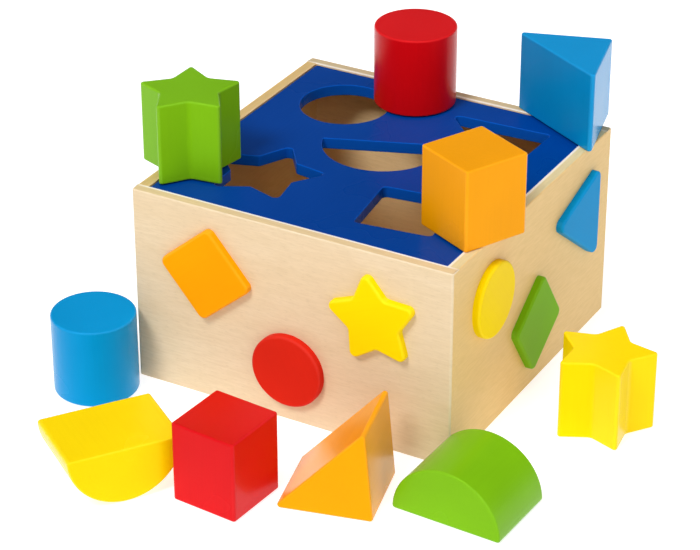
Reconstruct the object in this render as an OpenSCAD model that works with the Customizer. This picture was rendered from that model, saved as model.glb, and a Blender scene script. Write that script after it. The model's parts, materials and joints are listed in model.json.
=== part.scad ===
// Wooden shape sorter: a square box of glued boards, a lift-out lid with five holes,
// ten loose sorting blocks and three painted shapes glued on each side of the box.
// The origin is the middle of the box's underside. X runs along the front, Y runs to
// the back, Z is up, and the blocks that are off the box stand on the plane Z = 0.

/* [Box] */
// Outside width and depth of the box
box_w = 175; // [170:1:190]
// Height of the box
box_h = 105; // [95:1:125]
// Thickness of the four side boards
wall_t = 6; // [5:0.5:7]
// Thickness of the floor board
base_t = 5; // [4:0.5:8]

/* [Lid] */
// Thickness of the lid
lid_t = 6; // [5:0.5:8]
// How far the top of the lid lies below the rim
lid_drop = 0.5; // [0.5:0.5:3]
// Gap between the edge of the lid and each side board
lid_gap = 0.5; // [0.3:0.1:1]
// Gap all round a block in its hole
hole_gap = 2; // [1:0.25:2.5]
// Side of the cubes that hold up the lid's corners
rest_w = 8; // [6:1:10]

/* [Sorting blocks] */
// Length of every block, from one end face to the other
block_len = 42; // [38:1:44]
// Diameter of the cylinders
cylinder_d = 42.5; // [38:0.5:42.5]
// Side of the square end of the cuboids
cuboid_w = 35.5; // [32:0.5:36]
// Radius of the half cylinders
half_r = 28.5; // [26:0.5:29]
// Each of the two equal sides of the prisms' triangular ends
prism_leg = 48; // [44:0.5:49]
// Angle between those two sides
prism_apex = 85; // [80:1:90]
// Radius to the star prisms' tips, before they are rounded
star_tip_r = 26.5; // [25:0.5:27]
// Radius to the star prisms' notches
star_notch_r = 15; // [14:0.5:16]
// Rounding of the blocks' upright corners
block_round = 1.5; // [0.5:0.25:2]

/* [Glued-on shapes] */
// Thickness of the shapes on the sides of the box
shape_t = 4; // [3:0.5:5]
// Diameter of the discs
disc_d = 38.5; // [34:0.5:42]
// Side of the squares
square_w = 36.5; // [32:0.5:40]
// Each of the two equal sides of the triangles
triangle_leg = 50.5; // [44:0.5:54]
// Angle between those two sides
triangle_apex = 74; // [60:1:90]
// Radius to the stars' tips, before they are rounded
shape_star_tip_r = 26.5; // [22:0.5:28]
// Radius to the stars' notches
shape_star_notch_r = 14.5; // [12:0.5:16]
// Rounding of the shapes' corners
shape_round = 3.5; // [2:0.5:5]
// Rounding of the glued-on stars' tips
shape_star_round = 3; // [1.5:0.5:4]

/* [Hidden] */

half_w = box_w / 2;
inner_w = box_w - 2 * wall_t;
lid_w = inner_w - 2 * lid_gap;
lid_top = box_h - lid_drop;
lid_bottom = lid_top - lid_t;
cut_extra = 1;
round_steps = 6;
circle_sides = 96;

birch = [0.90, 0.77, 0.57];
lid_blue = [0.00, 0.20, 0.52];
red = [0.82, 0.06, 0.07];
orange = [0.96, 0.60, 0.03];
yellow = [0.98, 0.86, 0.02];
green = [0.45, 0.68, 0.08];
blue = [0.10, 0.55, 0.82];

// Places of the lid's holes, seen from above
round_hole_at = [-44.3, 46.2];
half_hole_at = [-5.4, 15.8];
half_hole_turn = 201;
star_hole_at = [-40.7, -39.3];
star_hole_turn = 5.3;
square_hole_at = [39.3, -42];
square_hole_turn = 7;
triangle_hole_at = [62, 63.2];
triangle_hole_turn = 225.4;

// Places of the four blocks that stand on the rim
green_star_at = [-75, -52.5];
green_star_turn = 30.4;
red_cylinder_at = [-15, 68];
blue_prism_at = [79.6, 101.3];
blue_prism_turn = 240.9;
orange_cuboid_at = [75, -43.5];
orange_cuboid_turn = -26;

// Places of the six blocks beside the box
blue_cylinder_at = [-100.5, -106.5];
yellow_half_at = [-30, -185];
yellow_half_turn = 54.5;
red_cuboid_at = [6.5, -157.3];
red_cuboid_turn = -5;
orange_prism_at = [77.8, -145.2];
orange_prism_turn = 13.7;
green_half_at = [107.7, -131];
green_half_turn = -2.5;
yellow_star_at = [134, -16.3];
yellow_star_turn = 3.8;

// Places of the glued-on shapes on their side board: rightwards from its middle, and up
front_square_at = [-45, 70];
front_square_turn = 40.5;
front_disc_at = [0, 29];
front_star_at = [47, 70];
front_star_turn = 9.7;
right_disc_at = [-48, 73];
right_square_at = [0.5, 35.5];
right_square_turn = 34.4;
right_triangle_at = [52, 70.5];
right_triangle_turn = 232.7;
back_disc_at = [-46.5, 71];
back_star_at = [0, 35];
back_star_turn = -12;
back_triangle_at = [47, 70];
back_triangle_turn = 250;
left_star_at = [-46.5, 71];
left_star_turn = 14;
left_triangle_at = [0, 35];
left_triangle_turn = 78;
left_disc_at = [47, 70];

function unit(v) = v / norm(v);

// Outward unit normal of the edge from p to q, on an outline that runs anticlockwise
function outward(p, q) = let (d = unit(q - p)) [d[1], -d[0]];

function before(points, i) = points[(i + len(points) - 1) % len(points)];
function after(points, i) = points[(i + 1) % len(points)];

// The same outline, moved outwards by gap on every edge
function grown(points, gap) = [
    for (i = [0 : len(points) - 1])
        let (a = outward(before(points, i), points[i]), b = outward(points[i], after(points, i)))
            points[i] + gap * (a + b) / (1 + a * b)
];

// Points along the arc that replaces one convex corner
function corner_arc(p, corner, q, radius) =
    let (
        a = unit(p - corner),
        b = unit(q - corner),
        half = acos(a * b) / 2,
        centre = corner + unit(a + b) * radius / sin(half),
        start = corner + a * radius / tan(half) - centre,
        first = atan2(start[1], start[0]),
        sweep = 180 - 2 * half
    )
    [
        for (k = [0 : round_steps])
            let (angle = first + sweep * k / round_steps)
                centre + radius * [cos(angle), sin(angle)]
    ];

// An outline with each corner rounded by its own radius; a radius of 0 keeps it sharp
function rounded(points, radii) = [
    for (i = [0 : len(points) - 1])
        each radii[i] > 0
            ? corner_arc(before(points, i), points[i], after(points, i), radii[i])
            : [points[i]]
];

function square_points(side) = [
    [-side / 2, -side / 2], [side / 2, -side / 2], [side / 2, side / 2], [-side / 2, side / 2]
];

// A triangle with its apex at the origin and its two equal sides on either side of +X
function triangle_points(leg, apex) = [
    [0, 0],
    leg * [cos(apex / 2), -sin(apex / 2)],
    leg * [cos(apex / 2), sin(apex / 2)]
];

// A star with one tip on +Y: tips and notches take turns
function star_points(tip_r, notch_r) = [
    for (i = [0 : 9])
        (i % 2 == 0 ? tip_r : notch_r) * [cos(90 + 36 * i), sin(90 + 36 * i)]
];
function star_radii(tip_round) = [for (i = [0 : 9]) i % 2 == 0 ? tip_round : 0];

function all_round(radius, count) = [for (i = [1 : count]) radius];

// Outlines of the five blocks' ends. gap = 0 is the block, and hole_gap is its hole.
module round_end(gap = 0) {
    circle(d = cylinder_d + 2 * gap, $fn = circle_sides);
}

module square_end(gap = 0) {
    polygon(rounded(grown(square_points(cuboid_w), gap), all_round(block_round + gap / 2, 4)));
}

module triangle_end(gap = 0) {
    polygon(rounded(
        grown(triangle_points(prism_leg, prism_apex), gap),
        all_round(block_round + gap / 2, 3)
    ));
}

module star_end(gap = 0) {
    polygon(rounded(
        grown(star_points(star_tip_r, star_notch_r), gap),
        star_radii(block_round + gap / 2)
    ));
}

// A half circle that bulges to +Y, with its flat edge on the X axis
module half_end(gap = 0) {
    r = half_r + gap;
    intersection() {
        circle(r = r, $fn = circle_sides);
        translate([-r - cut_extra, -gap]) square([2 * (r + cut_extra), r + gap + cut_extra]);
    }
}

// Outlines of the glued-on shapes
module disc_outline() {
    circle(d = disc_d, $fn = circle_sides);
}

module square_outline() {
    polygon(rounded(square_points(square_w), all_round(shape_round, 4)));
}

// Its centre of area is at the origin
module triangle_outline() {
    height = triangle_leg * cos(triangle_apex / 2);
    translate([-height * 2 / 3, 0])
        polygon(rounded(triangle_points(triangle_leg, triangle_apex), all_round(shape_round, 3)));
}

module star_outline() {
    polygon(rounded(
        star_points(shape_star_tip_r, shape_star_notch_r),
        star_radii(shape_star_round)
    ));
}

// A block that stands on one end face
module standing(at, turn, height) {
    translate([at[0], at[1], height]) rotate([0, 0, turn]) linear_extrude(block_len) children();
}

// A block that lies on its side. Its front end face is at the given place.
module lying(at, turn, height = 0) {
    translate([at[0], at[1], height])
        rotate([0, 0, turn])
            translate([0, block_len, 0])
                rotate([90, 0, 0])
                    linear_extrude(block_len) children();
}

// A shape glued on one side of the box: 0 front, 1 right, 2 back, 3 left
module glued(side, at, turn = 0) {
    rotate([0, 0, 90 * side])
        translate([at[0], -half_w, at[1]])
            rotate([90, 0, 0])
                linear_extrude(shape_t) rotate([0, 0, turn]) children();
}

// A side board: 0 front, 1 right, 2 back, 3 left. The front and back boards run the full
// width of the box, and the other two are butted between them.
module side_panel(side) {
    length = side % 2 == 0 ? box_w : inner_w;
    color(birch)
        rotate([0, 0, 90 * side])
            translate([-length / 2, -half_w, 0]) cube([length, wall_t, box_h]);
}

module front_panel() {
    side_panel(0);
}

module right_panel() {
    side_panel(1);
}

module back_panel() {
    side_panel(2);
}

module left_panel() {
    side_panel(3);
}

module base_panel() {
    color(birch) translate([-inner_w / 2, -inner_w / 2, 0]) cube([inner_w, inner_w, base_t]);
}

// One of the four cubes in the corners of the box, under the lid
module lid_rest(x_side, y_side) {
    centre = inner_w / 2 - rest_w / 2;
    color(birch)
        translate([x_side * centre, y_side * centre, lid_bottom - rest_w / 2])
            cube(rest_w, center = true);
}

module lid_hole(at, turn) {
    translate([at[0], at[1], -cut_extra])
        rotate([0, 0, turn])
            linear_extrude(lid_t + 2 * cut_extra) children();
}

module lid() {
    color(lid_blue) translate([0, 0, lid_bottom]) difference() {
        translate([-lid_w / 2, -lid_w / 2, 0]) cube([lid_w, lid_w, lid_t]);
        translate([round_hole_at[0], round_hole_at[1], -cut_extra])
            cylinder(d = cylinder_d + 2 * hole_gap, h = lid_t + 2 * cut_extra, $fn = circle_sides);
        lid_hole(half_hole_at, half_hole_turn) half_end(hole_gap);
        lid_hole(star_hole_at, star_hole_turn) star_end(hole_gap);
        lid_hole(square_hole_at, square_hole_turn) square_end(hole_gap);
        lid_hole(triangle_hole_at, triangle_hole_turn) triangle_end(hole_gap);
    }
}

module front_square() {
    color(orange) glued(0, front_square_at, front_square_turn) square_outline();
}

module front_disc() {
    color(red) glued(0, front_disc_at) disc_outline();
}

module front_star() {
    color(yellow) glued(0, front_star_at, front_star_turn) star_outline();
}

module right_disc() {
    color(yellow) glued(1, right_disc_at) disc_outline();
}

module right_square() {
    color(green) glued(1, right_square_at, right_square_turn) square_outline();
}

module right_triangle() {
    color(blue) glued(1, right_triangle_at, right_triangle_turn) triangle_outline();
}

module back_disc() {
    color(green) glued(2, back_disc_at) disc_outline();
}

module back_star() {
    color(red) glued(2, back_star_at, back_star_turn) star_outline();
}

module back_triangle() {
    color(orange) glued(2, back_triangle_at, back_triangle_turn) triangle_outline();
}

module left_star() {
    color(blue) glued(3, left_star_at, left_star_turn) star_outline();
}

module left_triangle() {
    color(yellow) glued(3, left_triangle_at, left_triangle_turn) triangle_outline();
}

module left_disc() {
    color(red) glued(3, left_disc_at) disc_outline();
}

module green_star_block() {
    color(green) standing(green_star_at, green_star_turn, box_h) star_end();
}

module red_cylinder_block() {
    color(red) standing(red_cylinder_at, 0, box_h) round_end();
}

module blue_prism_block() {
    color(blue) standing(blue_prism_at, blue_prism_turn, box_h) triangle_end();
}

module orange_cuboid_block() {
    color(orange) standing(orange_cuboid_at, orange_cuboid_turn, box_h) square_end();
}

module blue_cylinder_block() {
    color(blue) standing(blue_cylinder_at, 0, 0) round_end();
}

// Lies on its round side, with its flat face level and upwards
module yellow_half_block() {
    color(yellow) lying(yellow_half_at, yellow_half_turn, half_r) mirror([0, 1]) half_end();
}

module red_cuboid_block() {
    color(red) standing(red_cuboid_at, red_cuboid_turn, 0) square_end();
}

// Lies on one of its two equal sides, with its apex at the lower right
module orange_prism_block() {
    color(orange) lying(orange_prism_at, orange_prism_turn)
        rotate([0, 0, 180 - prism_apex / 2]) triangle_end();
}

// Lies on its flat face
module green_half_block() {
    color(green) lying(green_half_at, green_half_turn) half_end();
}

module yellow_star_block() {
    color(yellow) standing(yellow_star_at, yellow_star_turn, 0) star_end();
}

front_panel();
back_panel();
left_panel();
right_panel();
base_panel();
lid();
lid_rest(-1, -1);  // lid_rest_front_left
lid_rest(1, -1);  // lid_rest_front_right
lid_rest(-1, 1);  // lid_rest_back_left
lid_rest(1, 1);  // lid_rest_back_right
front_square();
front_disc();
front_star();
right_disc();
right_square();
right_triangle();
back_disc();
back_star();
back_triangle();
left_star();
left_triangle();
left_disc();
green_star_block();
red_cylinder_block();
blue_prism_block();
orange_cuboid_block();
blue_cylinder_block();
yellow_half_block();
red_cuboid_block();
orange_prism_block();
green_half_block();
yellow_star_block();
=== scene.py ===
import json
import math
from collections import namedtuple

import bmesh
import bpy
from mathutils import Matrix, Vector


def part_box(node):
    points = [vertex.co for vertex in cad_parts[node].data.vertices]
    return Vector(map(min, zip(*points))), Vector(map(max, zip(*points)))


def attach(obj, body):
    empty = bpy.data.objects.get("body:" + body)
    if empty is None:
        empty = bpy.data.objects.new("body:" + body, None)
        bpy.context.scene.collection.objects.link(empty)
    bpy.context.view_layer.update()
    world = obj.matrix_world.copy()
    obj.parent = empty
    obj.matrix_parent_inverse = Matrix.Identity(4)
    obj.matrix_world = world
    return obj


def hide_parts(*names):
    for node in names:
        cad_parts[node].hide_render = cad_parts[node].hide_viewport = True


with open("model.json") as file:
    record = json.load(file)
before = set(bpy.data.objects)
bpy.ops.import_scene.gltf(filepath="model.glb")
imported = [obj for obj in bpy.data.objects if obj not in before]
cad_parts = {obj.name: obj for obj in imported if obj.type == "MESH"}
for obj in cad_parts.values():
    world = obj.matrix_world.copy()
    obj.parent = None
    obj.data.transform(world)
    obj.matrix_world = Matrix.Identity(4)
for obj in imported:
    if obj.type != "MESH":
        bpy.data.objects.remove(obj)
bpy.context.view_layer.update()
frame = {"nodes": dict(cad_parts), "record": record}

MM = 0.001
UP = Vector((0, 0, 1))
QUARTER_TURN = math.pi / 2

# Tolerances for reading the CAD meshes: vertices in one place, vertices on one level, normals
# along or square to an axis, and the turn in radians below which an outline runs straight on
SAME_PLACE = 1e-6
SAME_LEVEL = 1e-5
SQUARE = 2e-3
STRAIGHT_TURN = 1e-3

# Rounding of the box: its upright corners, the outer edges of its rim and its lower edges
CORNER_ROUND = 1.3 * MM
RIM_ROUND = 0.8 * MM
FOOT_ROUND = 0.5 * MM
# The rim's inner edge and the pieces inside the box are hardly rounded, and the left and right
# boards' butted ends even less, so that their joints stay closed
INNER_ROUND = 0.2 * MM
INNER_TRIM = 0.3 * MM
BUTT_ROUND = 0.05 * MM

# Pale wear and a painted highlight on the rim's inner edge: how far they reach across the
# rim and down the inside, their share left halfway across, and their share at the inner
# corners of a board that runs through
RIM_WEAR_AND_HIGHLIGHT = 1.5 * MM
INNER_WEAR_AND_HIGHLIGHT = 0.3 * MM
HALFWAY_WEAR_AND_HIGHLIGHT = 0.9
JOINT_WEAR_AND_HIGHLIGHT = 0.35
# Pale wear and a painted highlight on the outer edges, as a share of the inner edge's, and how
# far they reach over the rim
OUTER_WEAR_AND_HIGHLIGHT = 0.06
OUTER_RIM_WEAR_AND_HIGHLIGHT = 0.02 * MM

# Rounding of the painted pieces: the edges of their ends, and how far a sharp corner of
# their outline is trimmed on each side
BLOCK_ROUND = 1.0 * MM
BLOCK_TRIM = 1.9 * MM
SHAPE_ROUND = 1.4 * MM
SHAPE_TRIM = 1.6 * MM
LID_ROUND = 0.5 * MM
LID_TRIM = 1.0 * MM

# Curves: steps to a rounded edge and to a trimmed corner, the turn from which a corner is
# sharp, and the radius below which a curve counts as an edge
ROUND_STEPS = 5
TRIM_STEPS = 5
SHARP_TURN = math.radians(25)
TIGHT_RADIUS = 4 * MM

# Camera: degrees to the right of the front and up, metres from the point that it looks at,
# and the lens in mm
VIEW_AZIMUTH = 29.23
VIEW_ELEVATION = 29.25
VIEW_DISTANCE = 1.3273
VIEW_AIM = Vector((-0.0154, 0.0, 0.034))
VIEW_LENS = 133.7

# Soft lights: degrees to the right of the front and up, strength, and width in degrees
LIGHTS = {
    "key": (-12, 52, 1.92, 20),
    "fill": (64, 30, 0.80, 60),
    "top": (0, 85, 1.15, 36),
}
# The studio round them: the sine of an elevation, and how bright it is there
STUDIO_LIGHT = ((0.05, 1.0), (0.36, 0.10))
STUDIO_STRENGTH = 0.70

FLOOR_REACH = 6.0
FLOOR_DROP = 0.2 * MM
FLOOR_GREY = 0.55
FLOOR_ROUGHNESS = 0.9
FLOOR_GLOW = 0.72

# The side boards, of which no two match: the direction that each faces, its linear tint on its
# faces and on its sawn upper edge, and how much of the rim's inner edge is worn pale and lit
# with a painted highlight
Board = namedtuple("Board", "outward tint top wear")
BOARDS = {
    "front_panel": Board(Vector((0, -1, 0)), (0.76, 0.62, 0.43), (0.70, 0.52, 0.29), 1.0),
    "right_panel": Board(Vector((1, 0, 0)), (0.81, 0.56, 0.24), (0.69, 0.57, 0.31), 1.0),
    # The back board's tint is paler than the front's so that its inner face, seen through the
    # holes, looks lit: painted light
    "back_panel": Board(Vector((0, 1, 0)), (0.95, 0.70, 0.38), (0.56, 0.44, 0.26), 1.0),
    "left_panel": Board(Vector((-1, 0, 0)), (0.97, 0.64, 0.32), (0.62, 0.43, 0.18), 0.1),
}
# The side boards' tint wherever they face along X: the right board's outer face, the ends of
# the front and back boards beside it, and the left board's inner face. Darker and yellower than
# the front's, it is partly the wood's own tone and partly painted shade on the side turned away
# from the key light
RIGHTWARD_TINT_AND_SHADE = BOARDS["right_panel"].tint
BASE_TINT = (0.98, 0.62, 0.30)
REST_TINT = (0.78, 0.56, 0.32)
# What a tint is multiplied by on a sawn edge, and in the dark parts of the grain
SAWN = (0.92, 0.84, 0.68)
GRAIN_SHADE = (0.95, 0.90, 0.80)

# Linear colours of the paints
PAINTS = {
    "red": (0.66, 0.003, 0.006),
    "orange": (0.92, 0.355, 0.001),
    "yellow": (0.98, 0.69, 0.001),
    "green": (0.19, 0.46, 0.006),
    "blue": (0.001, 0.28, 0.62),
}
SHAPE_RED = (0.66, 0.02, 0.008)
LID_BLUE = (0.0, 0.045, 0.27)
# The lid's sides and hole walls: a paler blue than its top, which paints light on the walls
LID_PAINTED_LIGHT_SIDES_BLUE = (0.003, 0.085, 0.46)

# Finishes of the painted pieces: roughness, level of reflection, and how far edges are rubbed
# lighter, which is wear and a painted highlight
BLOCK_FINISH = {"roughness": 0.24, "specular": 0.35, "rub": 0.15}
SHAPE_FINISH = {"roughness": 0.42, "specular": 0.04, "rub": 0.15}
LID_FINISH = {"roughness": 0.28, "specular": 0.10, "rub": 0.20}

# Finish of the wood: its range of roughness, its level of reflection, and its clear lacquer
WOOD_ROUGHNESS = (0.40, 0.52)
WOOD_SPECULAR = 0.2
LACQUER_WEIGHT = 0.02
LACQUER_ROUGHNESS = 0.2
# The share of white in worn wood and in rubbed paint, whose paler edges are wear and a painted
# highlight
WORN_AND_HIGHLIGHT_WHITE = 0.7
RUBBED_AND_HIGHLIGHT_WHITE = 0.1

# Noise textures: cells per metre along the grain and across it, and the noise's own settings
Texture = namedtuple("Texture", "lengthwise across detail roughness distortion")
FIGURE = Texture(6, 45, 3, 0.5, 1.2)
PATCH = Texture(11, 11, 2, 0.5, 0.0)
STREAK = Texture(30, 380, 3, 0.6, 0.5)
FIBRE = Texture(110, 900, 2, 0.6, 0.2)
FLECK = Texture(320, 1300, 2, 0.5, 0.0)
PAINT_GRAIN = Texture(26, 620, 3, 0.6, 0.3)
PAINT_PATCH = Texture(22, 22, 2, 0.5, 0.0)
PAINT_PEEL = Texture(900, 900, 2, 0.5, 0.0)
# How each texture darkens the wood, in this order: the noise at which it starts and at which
# it is full, its full share, and what it multiplies the dark parts' tint by
WOOD_STAINS = {
    FIGURE: (0.34, 0.74, 0.50, 1.00),
    PATCH: (0.35, 0.70, 0.25, 1.00),
    STREAK: (0.42, 0.66, 0.30, 0.95),
    FIBRE: (0.40, 0.66, 0.35, 0.90),
    FLECK: (0.56, 0.72, 0.30, 0.78),
}
GRAIN_DEPTH = 0.05 * MM
GRAIN_STRENGTH = 0.6


# ---------------------------------------------------------------- outlines

def clean_mesh(node):
    """The CAD node's mesh with its split vertices joined."""
    bm = bmesh.new()
    bm.from_mesh(frame["nodes"][node].data)
    bmesh.ops.remove_doubles(bm, verts=bm.verts, dist=SAME_PLACE)
    bm.normal_update()
    return bm


def extrusion_axis(bm):
    """The direction that every face of a straight-sided solid is either along or square to."""
    normals = [f.normal.copy() for f in sorted(bm.faces, key=lambda f: -f.calc_area())]
    for axis in [UP] + normals:
        if all(min(abs(axis.dot(n)), 1 - abs(axis.dot(n))) < SQUARE for n in normals):
            return axis
    raise ValueError("not a straight-sided solid")


def end_loops(bm, axis):
    """The outlines of the end face that axis points out of, with the solid on their left."""
    top = max(v.co.dot(axis) for v in bm.verts)
    cap = {f for f in bm.faces if all(top - v.co.dot(axis) < SAME_LEVEL for v in f.verts)}
    following = {}
    for face in cap:
        for corner in face.loops:
            if sum(f in cap for f in corner.edge.link_faces) == 1:
                following[corner.vert] = corner.link_loop_next.vert
    loops = []
    while following:
        vert = next(iter(following))
        points = []
        while vert in following:
            points.append(vert.co.copy())
            vert = following.pop(vert)
        loops.append(points)
    return loops


def edges_of(points):
    """The edges of an outline, the first one from its first point."""
    return [points[(i + 1) % len(points)] - points[i] for i in range(len(points))]


def perimeter(points):
    return sum(edge.length for edge in edges_of(points))


def turn_at(points, i):
    """How far an outline turns left at its point i, in radians."""
    before = points[i] - points[i - 1]
    after = points[(i + 1) % len(points)] - points[i]
    return -before.angle_signed(after)


def without_straight(points):
    """The same outline without the points in the middle of a straight edge."""
    return [p for i, p in enumerate(points) if abs(turn_at(points, i)) > STRAIGHT_TURN]


def walk(points, start, step, distance):
    """The points passed within distance of point start, and the point at that distance."""
    passed, i = [], start
    while True:
        following = (i + step) % len(points)
        edge = points[following] - points[i]
        if edge.length > distance:
            return passed, points[i] + edge * (distance / edge.length)
        distance -= edge.length
        passed.append(following)
        i = following


def softened(points, trim):
    """The outline with each sharp corner replaced by a curve that meets both sides smoothly."""
    steps = [k / TRIM_STEPS for k in range(TRIM_STEPS + 1)]
    curves, dropped = {}, set()
    for i in range(len(points)):
        if abs(turn_at(points, i)) < SHARP_TURN:
            continue
        passed_before, first = walk(points, i, -1, trim)
        passed_after, last = walk(points, i, 1, trim)
        dropped.update(passed_before + passed_after)
        curves[i] = [
            first * (1 - s) ** 2 + points[i] * 2 * s * (1 - s) + last * s ** 2 for s in steps
        ]
    result = []
    for i, point in enumerate(points):
        if i in curves:
            result += curves[i]
        elif i not in dropped:
            result.append(point)
    return result


def inset(points, distance):
    """The outline moved towards the solid on its left."""
    lefts = [Vector((-edge.y, edge.x)).normalized() for edge in edges_of(points)]
    moved = []
    for i, point in enumerate(points):
        a, b = lefts[i - 1], lefts[i]
        moved.append(point + (a + b) * (distance / (1 + a.dot(b))))
    return moved


def outward_normals(points):
    """At each point, the normal away from the solid. The longer of its two edges counts most."""
    edges = edges_of(points)
    return [
        Vector((edges[i - 1].y + edges[i].y, -edges[i - 1].x - edges[i].x, 0)).normalized()
        for i in range(len(points))
    ]


def tightness(points):
    """For each point, 1 inside a corner of small radius and 0 at its ends and elsewhere."""
    edges = edges_of(points)
    return [
        float(abs(turn_at(points, i)) * TIGHT_RADIUS > max(edges[i - 1].length, edges[i].length))
        for i in range(len(points))
    ]


# ---------------------------------------------------------------- meshes

def placed(name, data):
    """A new object in the scene for a mesh, a light or a camera."""
    item = bpy.data.objects.new(name, data)
    bpy.context.scene.collection.objects.link(item)
    return item


class Solid:
    """A mesh being built in a piece's own frame. Each vertex has a normal and an edge value,
    which is its share of the wear and painted highlight on edges. Flat faces keep their own
    normals, and faces along a straight side lean no other way than that side does."""

    def __init__(self):
        self.bm = bmesh.new()
        self.edge = self.bm.verts.layers.float.new("edge")
        self.normal = self.bm.verts.layers.float_vector.new("lean")
        self.flat = self.bm.faces.layers.int.new("flat")
        self.side = self.bm.faces.layers.float_vector.new("side")

    def vert(self, place, normal, edge):
        vert = self.bm.verts.new(place)
        vert[self.normal] = normal
        vert[self.edge] = edge
        return vert

    def rows(self, rows, sides):
        """Faces between neighbouring closed rows of vertices. sides has the outward normal of
        the straight side that follows each vertex of a row, or None on a curve."""
        count = len(rows[0])
        for low, high in zip(rows, rows[1:]):
            for i, side in enumerate(sides):
                j = (i + 1) % count
                face = self.bm.faces.new((low[i], low[j], high[j], high[i]))
                if side:
                    face[self.side] = side

    def cap(self, loops):
        """Flat faces inside the first closed loop of vertices and outside the others."""
        edges = [
            self.bm.edges.get((row[i - 1], row[i])) for row in loops for i in range(len(row))
        ]
        made = bmesh.ops.triangle_fill(self.bm, edges=edges, use_beauty=True)
        for item in made["geom"]:
            if isinstance(item, bmesh.types.BMFace):
                item[self.flat] = 1

    def finish(self, name, matrix):
        """A new object in the row frame. The own attribute keeps the place in the own frame."""
        bmesh.ops.recalc_face_normals(self.bm, faces=self.bm.faces)
        mesh = bpy.data.meshes.new(name)
        self.bm.to_mesh(mesh)
        self.bm.free()
        own = mesh.attributes.new("own", "FLOAT_VECTOR", "POINT")
        own.data.foreach_set("vector", [c for vert in mesh.vertices for c in vert.co])
        leans = [Vector(item.vector) for item in mesh.attributes["lean"].data]
        flats = [item.value for item in mesh.attributes["flat"].data]
        sides = [Vector(item.vector) for item in mesh.attributes["side"].data]
        turn = matrix.to_3x3()
        normals = []
        for face, flat, side in zip(mesh.polygons, flats, sides):
            for lean in [leans[index] for index in face.vertices]:
                if flat:
                    lean = face.normal
                elif side.length > 0:
                    lean = side * lean.xy.length + UP * lean.z
                normals.append(turn @ lean)
        for layer in ("lean", "flat", "side"):
            mesh.attributes.remove(mesh.attributes[layer])
        mesh.transform(matrix)
        mesh.shade_smooth()
        mesh.normals_split_custom_set(normals)
        return placed(name, mesh)


# A ring round a rounded end edge: its inset, its z, and the wall's and the end's share of the
# normal there
Ring = namedtuple("Ring", "inset z wall end")


def end_rings(radius, level, facing):
    """The rings from an end face, at that level and facing up (1) or down (-1), to the wall."""
    rings = []
    for k in range(ROUND_STEPS + 1):
        angle = k / ROUND_STEPS * QUARTER_TURN
        out, along_axis = math.sin(angle), math.cos(angle)
        rings.append(Ring(radius * (1 - out), level - facing * radius * (1 - along_axis),
                          out, facing * along_axis))
    return rings


def straight_sided(loops, depth, top_round, bottom_round):
    """A solid from z = 0 to depth with the given outlines and rounded end edges."""
    solid = Solid()
    rings = end_rings(bottom_round, 0.0, -1) if bottom_round else [Ring(0.0, 0.0, 1.0, 0.0)]
    rings += reversed(end_rings(top_round, depth, 1))
    bottoms, tops = [], []
    for points in loops:
        corners, normals = tightness(points), outward_normals(points)
        rows = []
        for ring in rings:
            rounding = 2 * ring.wall * abs(ring.end)
            rows.append([
                solid.vert((p.x, p.y, ring.z), normal * ring.wall + UP * ring.end,
                           max(rounding, tight * ring.wall))
                for p, normal, tight in zip(inset(points, ring.inset), normals, corners)
            ])
        solid.rows(rows, [None] * len(points))
        bottoms.append(rows[0])
        tops.append(rows[-1])
    solid.cap(bottoms)
    solid.cap(tops)
    return solid


def cut_piece(name, node, outward, top_round, bottom_round, trim):
    """A piece with the CAD node's outline. Its own Z runs from end to end, and X along an edge."""
    bm = clean_mesh(node)
    axis = extrusion_axis(bm)
    if axis.dot(outward) < 0:
        axis = -axis
    loops = end_loops(bm, axis)
    heights = [v.co.dot(axis) for v in bm.verts]
    bm.free()
    low, high = min(heights), max(heights)
    outer = max(loops, key=perimeter)
    x_axis = max(edges_of(outer), key=lambda e: round(e.length, 6)).normalized()
    y_axis = axis.cross(x_axis)
    corner_low, corner_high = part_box(node)
    centre = (corner_low + corner_high) / 2
    origin = centre + axis * (low - centre.dot(axis))
    matrix = Matrix((x_axis, y_axis, axis)).transposed().to_4x4()
    matrix.translation = origin
    flat = [
        softened(without_straight([
            Vector(((p - origin).dot(x_axis), (p - origin).dot(y_axis))) for p in points
        ]), trim)
        for points in sorted(loops, key=perimeter, reverse=True)
    ]
    return straight_sided(flat, high - low, top_round, bottom_round).finish(name, matrix)


# ---------------------------------------------------------------- side boards

# A point of a side board's outline: its place, its outward normal, the step inwards that rounds
# the upper edge there, the step from there to the end of the wear and painted highlight, the
# height of the rounding, the share of wear and painted highlight that the point lets show, and
# the normal of the straight side after it
BoardPoint = namedtuple("BoardPoint", "place normal step reach lift edge side")

# A level of a side board's skin: the shares taken of each point's step and reach, its height,
# the share of the rounding's height added to it, the wall's and the end's share of the normal,
# and the wear and painted highlight there on the inner face and on the others
BoardLevel = namedtuple("BoardLevel", "step reach z lift wall end inner_edge outer_edge")


def rounded_upright(half_length, x_side, following):
    """A through board's outer corner, as the points of an arc."""
    centre = Vector((x_side * (half_length - CORNER_ROUND), CORNER_ROUND))
    first_angle = (2 if x_side < 0 else 3) * QUARTER_TURN
    points = []
    for k in range(ROUND_STEPS + 1):
        angle = first_angle + k / ROUND_STEPS * QUARTER_TURN
        normal = Vector((math.cos(angle), math.sin(angle)))
        points.append(BoardPoint(
            centre + normal * CORNER_ROUND, normal, -normal * RIM_ROUND,
            -normal * OUTER_RIM_WEAR_AND_HIGHLIGHT, RIM_ROUND, OUTER_WEAR_AND_HIGHLIGHT * abs(math.sin(2 * angle)),
            following if k == ROUND_STEPS else None,
        ))
    return points


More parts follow.
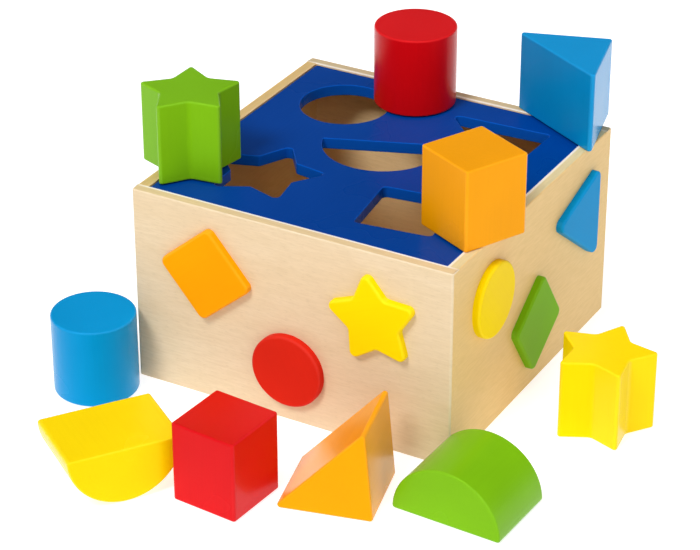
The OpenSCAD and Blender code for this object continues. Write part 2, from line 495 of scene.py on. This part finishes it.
def outer_butt(half_length, x_side, following):
    """A butted board's outer corner."""
    return BoardPoint(
        Vector((x_side * half_length, 0)), Vector((0, -1)),
        Vector((-x_side * BUTT_ROUND, RIM_ROUND)),
        Vector((-x_side * OUTER_RIM_WEAR_AND_HIGHLIGHT, OUTER_RIM_WEAR_AND_HIGHLIGHT)), RIM_ROUND, 0.0, following,
    )


def inner_end(half_length, thickness, through, x_side, following):
    """A board's inner corner. On a through board the wear and painted highlight fade towards it.
    """
    end_round, edge = (INNER_ROUND, JOINT_WEAR_AND_HIGHLIGHT) if through else (BUTT_ROUND, 1.0)
    return BoardPoint(
        Vector((x_side * half_length, thickness)), Vector((0, 1)),
        Vector((-x_side * end_round, -INNER_ROUND)),
        Vector((-x_side * OUTER_RIM_WEAR_AND_HIGHLIGHT, -RIM_WEAR_AND_HIGHLIGHT)), INNER_ROUND, edge, following,
    )


def inner_joint(half_length, thickness, x_side, following):
    """Where a butted board's inner face meets a through board."""
    return BoardPoint(
        Vector((x_side * (half_length - thickness), thickness)), Vector((0, 1)),
        Vector((0, -INNER_ROUND)), Vector((0, -RIM_WEAR_AND_HIGHLIGHT)), INNER_ROUND, 1.0, following,
    )


def board_outline(half_length, thickness, through):
    """A side board seen from above, anticlockwise from its outer left corner. A board that
    runs through has rounded outer corners, and a point wherever a butted board ends."""
    outer, inner = Vector((0, -1, 0)), Vector((0, 1, 0))
    left, right = Vector((-1, 0, 0)), Vector((1, 0, 0))
    if through:
        points = rounded_upright(half_length, -1, outer) + rounded_upright(half_length, 1, right)
    else:
        points = [outer_butt(half_length, -1, outer), outer_butt(half_length, 1, right)]
    points.append(inner_end(half_length, thickness, through, 1, inner))
    if through:
        points += [inner_joint(half_length, thickness, x_side, inner) for x_side in (1, -1)]
    points.append(inner_end(half_length, thickness, through, -1, left))
    return points


def board_levels(height):
    """The levels of a side board's skin, from its underside to the end of the wear and painted
    highlight on its rim. They take their roundings from rings of radius 1, as shares of each
    point's own."""
    arc = end_rings(1, 0, 1)
    foot = FOOT_ROUND / RIM_ROUND
    levels = [
        BoardLevel(ring.inset * foot, 0, 0.0, -ring.z * foot, ring.wall, -ring.end, 0.0, 0.0)
        for ring in arc
    ]
    levels.append(BoardLevel(0, 0, height - INNER_WEAR_AND_HIGHLIGHT, -1, 1.0, 0.0, 0.0, 0.0))
    levels += [
        BoardLevel(ring.inset, 0, height, ring.z, ring.wall, ring.end,
                   1.0, 2 * OUTER_WEAR_AND_HIGHLIGHT * ring.wall * ring.end)
        for ring in reversed(arc)
    ]
    levels.append(BoardLevel(1, 0.5, height, 0, 0.0, 1.0, HALFWAY_WEAR_AND_HIGHLIGHT, 0.0))
    levels.append(BoardLevel(1, 1, height, 0, 0.0, 1.0, 0.0, 0.0))
    return levels


def side_board(name, node, outward, wear):
    """A side board of the box. The front and back boards run through, and the other two are
    butted between them. The rim's inner edge is worn most and has the strongest painted
    highlight, a little way on to its two faces. The board's own X runs to the right as seen
    from outside, Y inwards from its outer face, and Z up."""
    right = UP.cross(outward)
    low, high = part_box(node)
    thickness = abs((high - low).dot(outward))
    outline = board_outline(abs((high - low).dot(right)) / 2, thickness, abs(outward.y) > 0)
    solid = Solid()
    rows = []
    for level in board_levels(high.z - low.z):
        row = []
        for point in outline:
            spot = point.place + point.step * level.step + point.reach * level.reach
            # The inner edge's wear and painted highlight, scaled per board, and the outer edges'
            # fainter ones
            if point.normal.y > 0.5:
                edge = level.inner_edge * point.edge * wear
            else:
                edge = max(level.outer_edge, point.edge * level.wall)
            row.append(solid.vert(
                (spot.x, spot.y, level.z + point.lift * level.lift),
                Vector((point.normal.x * level.wall, point.normal.y * level.wall, level.end)),
                edge,
            ))
        rows.append(row)
    solid.rows(rows, [point.side for point in outline])
    solid.cap([rows[0]])
    solid.cap([rows[-1]])
    matrix = Matrix((right, -outward, UP)).transposed().to_4x4()
    matrix.translation = outward * max(low.dot(outward), high.dot(outward)) + UP * low.z
    return solid.finish(name, matrix)


# ---------------------------------------------------------------- materials

class Shader:
    """A material's node tree, with short calls to add a node and wire it up."""

    def __init__(self, name):
        self.material = bpy.data.materials.new(name)
        self.material.use_nodes = True
        self.tree = self.material.node_tree
        self.tree.nodes.clear()
        self.surface = self.add("ShaderNodeBsdfPrincipled")
        output = self.add("ShaderNodeOutputMaterial")
        self.link(self.surface.outputs["BSDF"], output.inputs["Surface"])

    def add(self, kind, **settings):
        node = self.tree.nodes.new(kind)
        for key, value in settings.items():
            setattr(node, key, value)
        return node

    def link(self, source, target):
        self.tree.links.new(source, target)

    def put(self, value, socket):
        """Sets a socket to a constant, or links another node's output to it."""
        if isinstance(value, bpy.types.NodeSocket):
            self.link(value, socket)
        else:
            socket.default_value = value

    def own(self):
        """Where a point of the surface is in the piece's own frame."""
        return self.add("ShaderNodeAttribute", attribute_name="own").outputs["Vector"]

    def edge(self):
        """The surface's share of the wear and painted highlight on edges."""
        return self.add("ShaderNodeAttribute", attribute_name="edge").outputs["Fac"]

    def facing(self, axis):
        """1 on faces that look along an axis of the row, and 0 on the others."""
        parts = self.add("ShaderNodeSeparateXYZ")
        self.link(self.add("ShaderNodeTexCoord").outputs["Normal"], parts.inputs["Vector"])
        return self.span(parts.outputs[axis], 0.90, 0.99)

    def noise(self, texture, grain_axis=0, shift=(0, 0, 0)):
        """Noise from 0 to 1, with its cells drawn out along the grain."""
        scale = [texture.lengthwise if k == grain_axis else texture.across for k in range(3)]
        mapping = self.add("ShaderNodeMapping")
        self.link(self.own(), mapping.inputs["Vector"])
        mapping.inputs["Scale"].default_value = scale
        mapping.inputs["Location"].default_value = shift
        node = self.add("ShaderNodeTexNoise")
        self.link(mapping.outputs["Vector"], node.inputs["Vector"])
        node.inputs["Scale"].default_value = 1.0
        node.inputs["Detail"].default_value = texture.detail
        node.inputs["Roughness"].default_value = texture.roughness
        node.inputs["Distortion"].default_value = texture.distortion
        return node.outputs["Fac"]

    def span(self, value, low, high, to_low=0.0, to_high=1.0):
        """value's range from low to high, spread over another range and held inside it."""
        node = self.add("ShaderNodeMapRange", clamp=True)
        self.link(value, node.inputs["Value"])
        for socket, limit in zip(("From Min", "From Max", "To Min", "To Max"),
                                 (low, high, to_low, to_high)):
            node.inputs[socket].default_value = limit
        return node.outputs["Result"]

    def math(self, operation, a, b):
        node = self.add("ShaderNodeMath", operation=operation)
        for value, socket in zip((a, b), node.inputs):
            self.put(value, socket)
        return node.outputs[0]

    def mix(self, share, a, b):
        """Colour a turning into colour b as share goes from 0 to 1."""
        node = self.add("ShaderNodeMix", data_type="RGBA")
        self.put(share, node.inputs["Factor"])
        colours = [s for s in node.inputs if s.type == "RGBA"]
        for value, socket in zip((a, b), colours):
            self.put(value if isinstance(value, bpy.types.NodeSocket) else (*value, 1.0), socket)
        return [s for s in node.outputs if s.type == "RGBA"][0]

    def bump(self, coarse, fine, fine_share):
        """Fine relief from one texture and a share of a finer one."""
        height = self.math("ADD", coarse, self.math("MULTIPLY", fine, fine_share))
        node = self.add("ShaderNodeBump")
        node.inputs["Strength"].default_value = GRAIN_STRENGTH
        node.inputs["Distance"].default_value = GRAIN_DEPTH
        self.link(height, node.inputs["Height"])
        self.link(node.outputs["Normal"], self.surface.inputs["Normal"])

    def gloss(self, specular, tint):
        """Reflections: tinted where the surface is seen straight on, and white at its rim."""
        self.surface.inputs["Specular IOR Level"].default_value = specular
        self.surface.inputs["Specular Tint"].default_value = (*tint, 1.0)

    def lacquer(self, weight, roughness):
        """A clear coat."""
        self.surface.inputs["Coat Weight"].default_value = weight
        self.surface.inputs["Coat Roughness"].default_value = roughness


def scaled(colour, factor):
    return tuple(min(1.0, c * factor) for c in colour)


def tinted(colour, tint):
    return tuple(c * t for c, t in zip(colour, tint))


def paled(colour, share):
    """The colour with that share of white in it."""
    return tuple(c * (1 - share) + share for c in colour)


def wood(name, tint, top, rightward_and_shade=None, grain_axis=0, seed=0.0):
    """Pale birch under clear lacquer: slow figure, fine fibres, short flecks, and paler edges that
    are worn and carry a painted highlight. Faces that look up have a tint of their own, and so
    may those that look along X, whose darker, yellower tint is partly the wood's own tone and
    partly painted shade."""
    s = Shader(name)
    shift = (seed, seed * 0.37, seed * 0.71)
    noises = {texture: s.noise(texture, grain_axis, shift) for texture in WOOD_STAINS}
    shade = tinted(tint, GRAIN_SHADE)
    colour = scaled(tint, 1.04)
    for texture, (low, high, share, factor) in WOOD_STAINS.items():
        stain = s.span(noises[texture], low, high, 0.0, share)
        colour = s.mix(stain, colour, scaled(shade, factor))
    lines = s.span(noises[FIBRE], 0.35, 0.65)
    colour = s.mix(s.facing("Z"), colour, s.mix(lines, top, scaled(top, 1.1)))
    # Faces that look along X get the darker, yellower tint: the wood's own tone and painted shade
    if rightward_and_shade:
        lined_rightward_and_shade = s.mix(lines, rightward_and_shade, scaled(rightward_and_shade, 0.94))
        colour = s.mix(s.facing("X"), colour, lined_rightward_and_shade)
    # Edges paled with wear and a painted highlight
    worn_and_highlit = s.math("MULTIPLY", s.edge(), s.span(noises[PATCH], 0.3, 0.6, 0.6, 0.9))
    colour = s.mix(worn_and_highlit, colour, paled(tint, WORN_AND_HIGHLIGHT_WHITE))
    s.link(colour, s.surface.inputs["Base Color"])
    s.link(s.span(noises[FIBRE], 0.3, 0.7, *WOOD_ROUGHNESS), s.surface.inputs["Roughness"])
    s.gloss(WOOD_SPECULAR, tint)
    s.lacquer(LACQUER_WEIGHT, LACQUER_ROUGHNESS)
    s.bump(noises[FIBRE], noises[FLECK], 0.5)
    return s.material


def paint(name, colour, grain_axis, roughness, specular, rub, sides=None):
    """Satin paint on wood: the grain shows through faintly, and edges are rubbed lighter, which is
    wear and a painted highlight. If the sides have a colour of their own, only faces that look up
    keep the first one; the lid's paler sides are painted light."""
    s = Shader(name)
    grain = s.noise(PAINT_GRAIN, grain_axis)
    patch = s.noise(PAINT_PATCH)
    base = s.mix(s.span(patch, 0.15, 0.85), scaled(colour, 0.92), scaled(colour, 1.07))
    base = s.mix(s.span(grain, 0.42, 0.68, 0.0, 0.16), base, scaled(colour, 0.86))
    # Edges rubbed lighter with wear and a painted highlight
    worn_and_highlit = s.math("MULTIPLY", s.edge(), s.span(patch, 0.35, 0.65, rub * 0.4, rub))
    base = s.mix(worn_and_highlit, base, paled(scaled(colour, 1.1), RUBBED_AND_HIGHLIGHT_WHITE))
    # On the lid, the sides' paler blue is painted light on its walls
    if sides:
        base = s.mix(s.facing("Z"), sides, base)
    s.link(base, s.surface.inputs["Base Color"])
    s.link(s.span(patch, 0.15, 0.85, roughness - 0.05, roughness + 0.07),
           s.surface.inputs["Roughness"])
    s.gloss(specular, colour)
    s.bump(grain, s.noise(PAINT_PEEL), 0.35)
    return s.material


# ---------------------------------------------------------------- the object

record = frame["record"]
slot_of = {row["node"]: row["material_slot"] for row in record["subparts"]}
body_of = {
    node: body for body, nodes in record["behaviour"]["bodies"].items() for node in nodes
}


def settle(piece, node, material):
    """Gives the piece its finish, and puts it in the CAD node's stead on the node's body."""
    piece.data.materials.append(material)
    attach(piece, body_of[node])
    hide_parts(node)


def inner_piece(name, node):
    """A piece of wood inside the box."""
    return cut_piece(name, node, UP, INNER_ROUND, INNER_ROUND, INNER_TRIM)


def make_box():
    for i, (node, board) in enumerate(BOARDS.items()):
        piece = side_board(node.replace("_panel", "_board"), node, board.outward, board.wear)
        board_wood = wood(node + "_wood", board.tint, board.top, RIGHTWARD_TINT_AND_SHADE, seed=3.1 * i)
        settle(piece, node, board_wood)
    base_wood = wood("base_panel_wood", BASE_TINT, tinted(BASE_TINT, SAWN), seed=12.4)
    settle(inner_piece("base_board", "base_panel"), "base_panel", base_wood)
    rest_wood = wood("rest_wood", REST_TINT, tinted(REST_TINT, SAWN), grain_axis=2)
    for node in slot_of:
        if node.startswith("lid_rest"):
            settle(inner_piece(node + "_cube", node), node, rest_wood)


def make_lid():
    lid = cut_piece("lid_plate", "lid", UP, LID_ROUND, LID_ROUND, LID_TRIM)
    settle(lid, "lid", paint("lid_blue_paint", LID_BLUE, 0, sides=LID_PAINTED_LIGHT_SIDES_BLUE, **LID_FINISH))


def loose_block(node):
    """A loose block, with the edges of both its ends rounded."""
    name = node.replace("_block", "_solid")
    return cut_piece(name, node, UP, BLOCK_ROUND, BLOCK_ROUND, BLOCK_TRIM)


def glued_shape(node):
    """A shape glued on a side of the box, with only its outer edges rounded."""
    low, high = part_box(node)
    middle = (low + high) / 2
    outward = Vector((middle.x, middle.y, 0))
    return cut_piece(node + "_relief", node, outward, SHAPE_ROUND, 0, SHAPE_TRIM)


def painted_finish(tone, loose):
    """The paint of one colour on loose blocks or on glued shapes. Their grain is Z or X."""
    if loose:
        return paint(f"{tone}_block_paint", PAINTS[tone], 2, **BLOCK_FINISH)
    colour = SHAPE_RED if tone == "red" else PAINTS[tone]
    return paint(f"{tone}_shape_paint", colour, 0, **SHAPE_FINISH)


def make_painted():
    finishes = {}
    for node, slot in slot_of.items():
        tone = slot.replace("_paint", "")
        if tone not in PAINTS:
            continue
        loose = node.endswith("_block")
        if (tone, loose) not in finishes:
            finishes[tone, loose] = painted_finish(tone, loose)
        piece = loose_block(node) if loose else glued_shape(node)
        settle(piece, node, finishes[tone, loose])


# ---------------------------------------------------------------- the stage

def grey(level):
    return (level, level, level, 1.0)


def direction(azimuth, elevation):
    """The direction that many degrees to the right of the front and up."""
    a, e = math.radians(azimuth), math.radians(elevation)
    return Vector((math.sin(a) * math.cos(e), -math.cos(a) * math.cos(e), math.sin(e)))


def look_from(item, towards):
    """Turns a light or a camera, which look along their own -Z, to look from that direction."""
    item.rotation_mode = "QUATERNION"
    item.rotation_quaternion = towards.to_track_quat("Z", "Y")


def make_floor():
    bm = bmesh.new()
    bmesh.ops.create_grid(bm, x_segments=1, y_segments=1, size=FLOOR_REACH)
    mesh = bpy.data.meshes.new("floor")
    bm.to_mesh(mesh)
    bm.free()
    floor = placed("floor", mesh)
    floor.location.z = -FLOOR_DROP
    s = Shader("floor_white")
    s.surface.inputs["Base Color"].default_value = grey(FLOOR_GREY)
    s.surface.inputs["Roughness"].default_value = FLOOR_ROUGHNESS
    s.surface.inputs["Specular IOR Level"].default_value = 0.0
    s.surface.inputs["Emission Color"].default_value = grey(1.0)
    s.surface.inputs["Emission Strength"].default_value = FLOOR_GLOW
    mesh.materials.append(s.material)


def make_world():
    """A studio that is bright near the horizon and dim overhead."""
    world = bpy.data.worlds.new("studio")
    bpy.context.scene.world = world
    world.use_nodes = True
    tree = world.node_tree
    background = tree.nodes["Background"]
    place = tree.nodes.new("ShaderNodeTexCoord")
    parts = tree.nodes.new("ShaderNodeSeparateXYZ")
    ramp = tree.nodes.new("ShaderNodeValToRGB")
    tree.links.new(place.outputs["Generated"], parts.inputs["Vector"])
    tree.links.new(parts.outputs["Z"], ramp.inputs["Fac"])
    tree.links.new(ramp.outputs["Color"], background.inputs["Color"])
    for i, (position, level) in enumerate(STUDIO_LIGHT):
        ramp.color_ramp.elements[i].position = position
        ramp.color_ramp.elements[i].color = grey(level)
    background.inputs["Strength"].default_value = STUDIO_STRENGTH


def make_lights():
    for name, (azimuth, elevation, strength, width) in LIGHTS.items():
        data = bpy.data.lights.new(name, "SUN")
        data.energy = strength
        data.angle = math.radians(width)
        look_from(placed(name, data), direction(azimuth, elevation))


def make_camera():
    data = bpy.data.cameras.new("camera")
    data.lens = VIEW_LENS
    camera = placed("camera", data)
    back = direction(VIEW_AZIMUTH, VIEW_ELEVATION)
    camera.location = VIEW_AIM + back * VIEW_DISTANCE
    look_from(camera, back)
    bpy.context.scene.camera = camera


make_box()
make_lid()
make_painted()
make_floor()
make_world()
make_lights()
make_camera()
bpy.context.scene.view_settings.view_transform = "Standard"

bpy.context.view_layer.update()
